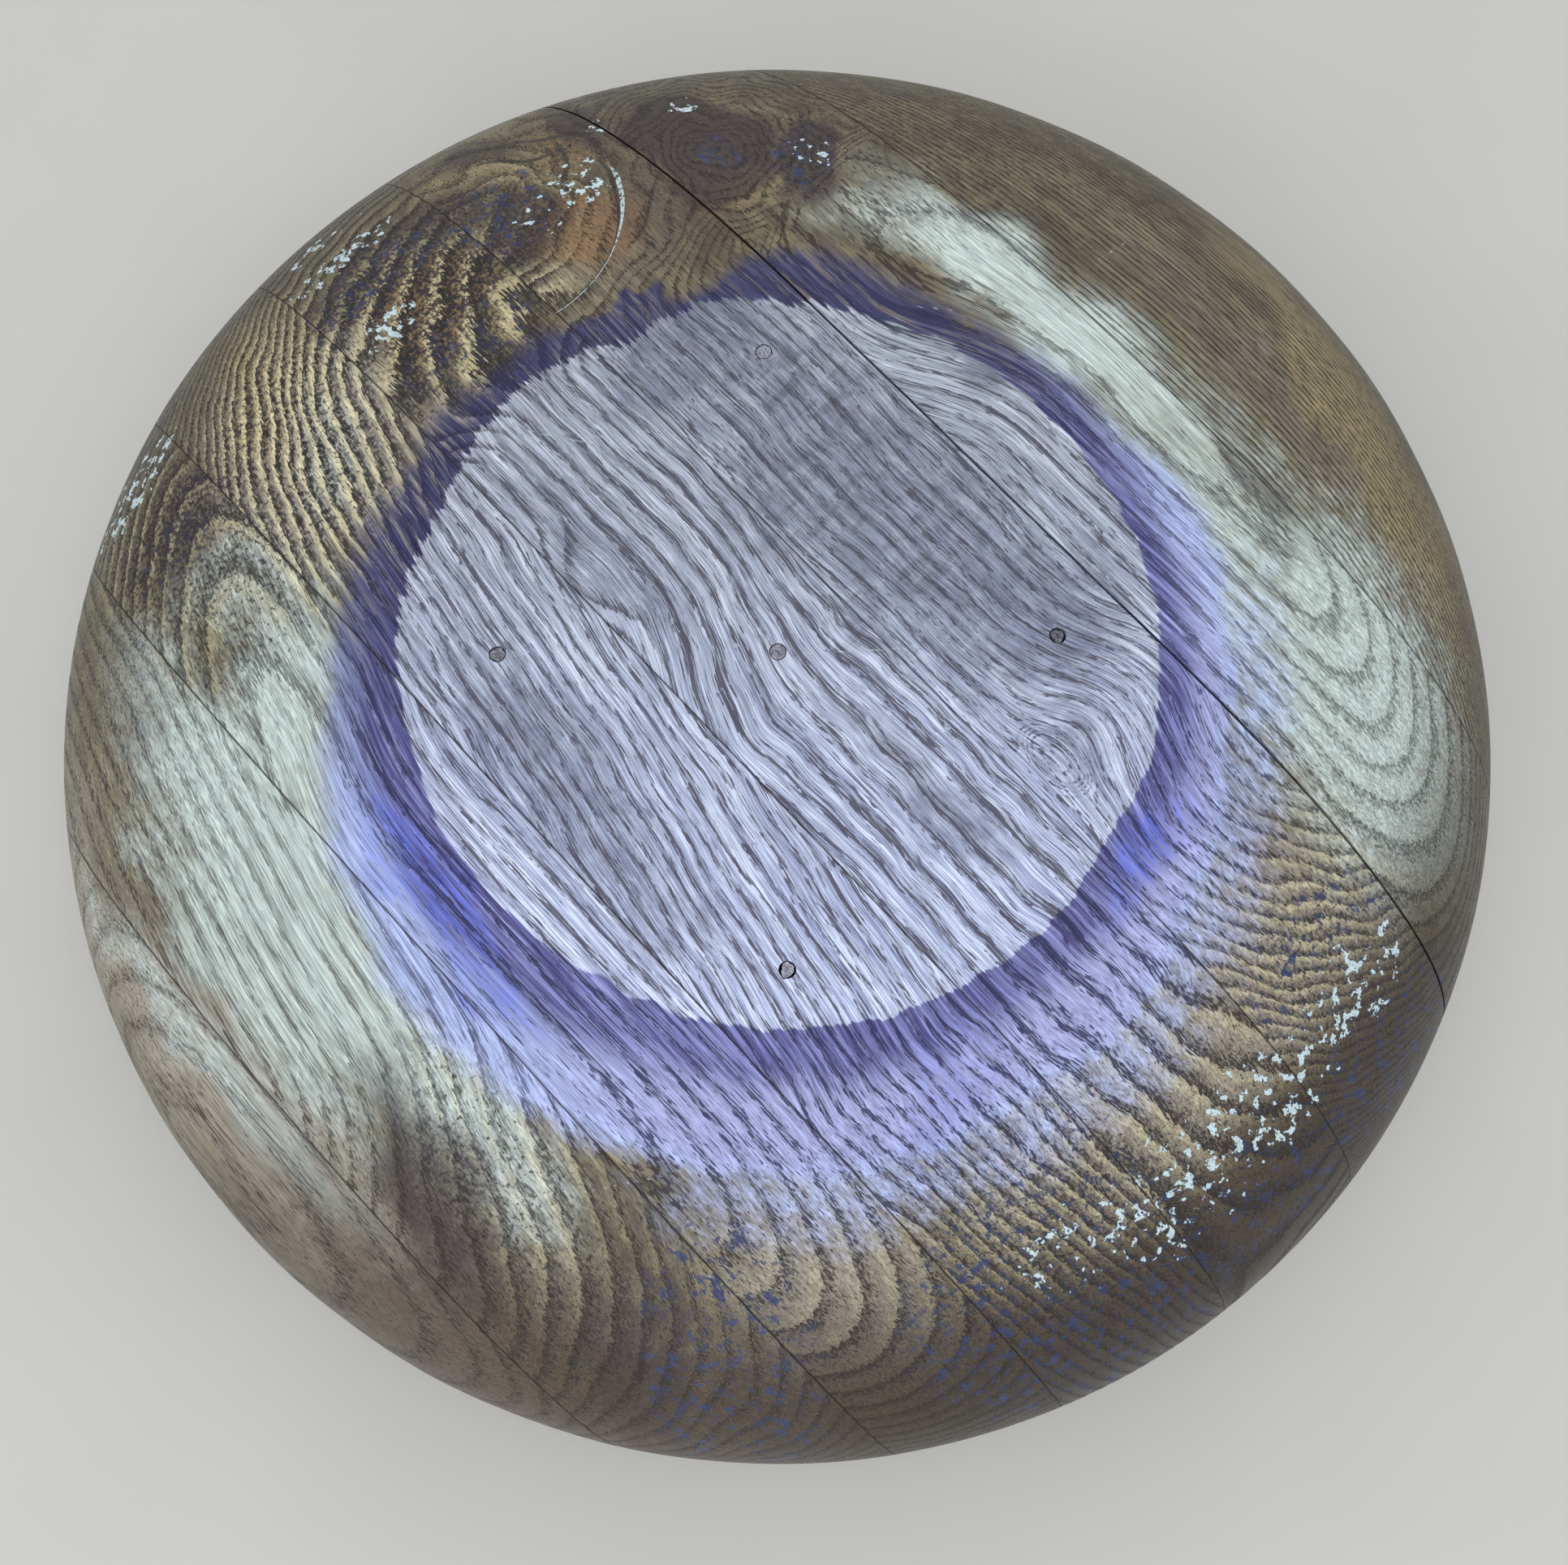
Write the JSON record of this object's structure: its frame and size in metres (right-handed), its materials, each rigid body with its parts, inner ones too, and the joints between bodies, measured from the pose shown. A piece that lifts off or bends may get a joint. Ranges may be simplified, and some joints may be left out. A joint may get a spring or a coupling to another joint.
{
  "type": "turned wooden bowl",
  "caption": "Wide shallow turned bowl of edge-glued boards, lying upside down on its rim, with a flat foot and plugged faceplate screw holes.",
  "frame": {"origin": "on the bowl's turning axis, in the plane of the rim that it lies on", "axes": "+Z along the turning axis from the rim up to the foot, +X along the grain of the boards, +Y across the glue joints towards board_1"},
  "size_m": [0.4, 0.4, 0.104],
  "materials": {
    "stained_wood": "ring-porous wood, dyed blue round the foot and olive brown on the wall, under a glossy lacquer; the foot is bare and dull",
    "wood_filler": "dull grey putty over a wooden plug"
  },
  "bodies": {
    "root": {"board_1": "stained_wood", "board_2": "stained_wood", "board_3": "stained_wood", "board_4": "stained_wood", "board_5": "stained_wood", "board_6": "stained_wood", "board_7": "stained_wood", "board_8": "stained_wood", "screw_hole_plug_center": "wood_filler", "screw_hole_plug_1": "wood_filler", "screw_hole_plug_2": "wood_filler", "screw_hole_plug_3": "wood_filler", "screw_hole_plug_4": "wood_filler"}
  },
  "joints": []
}
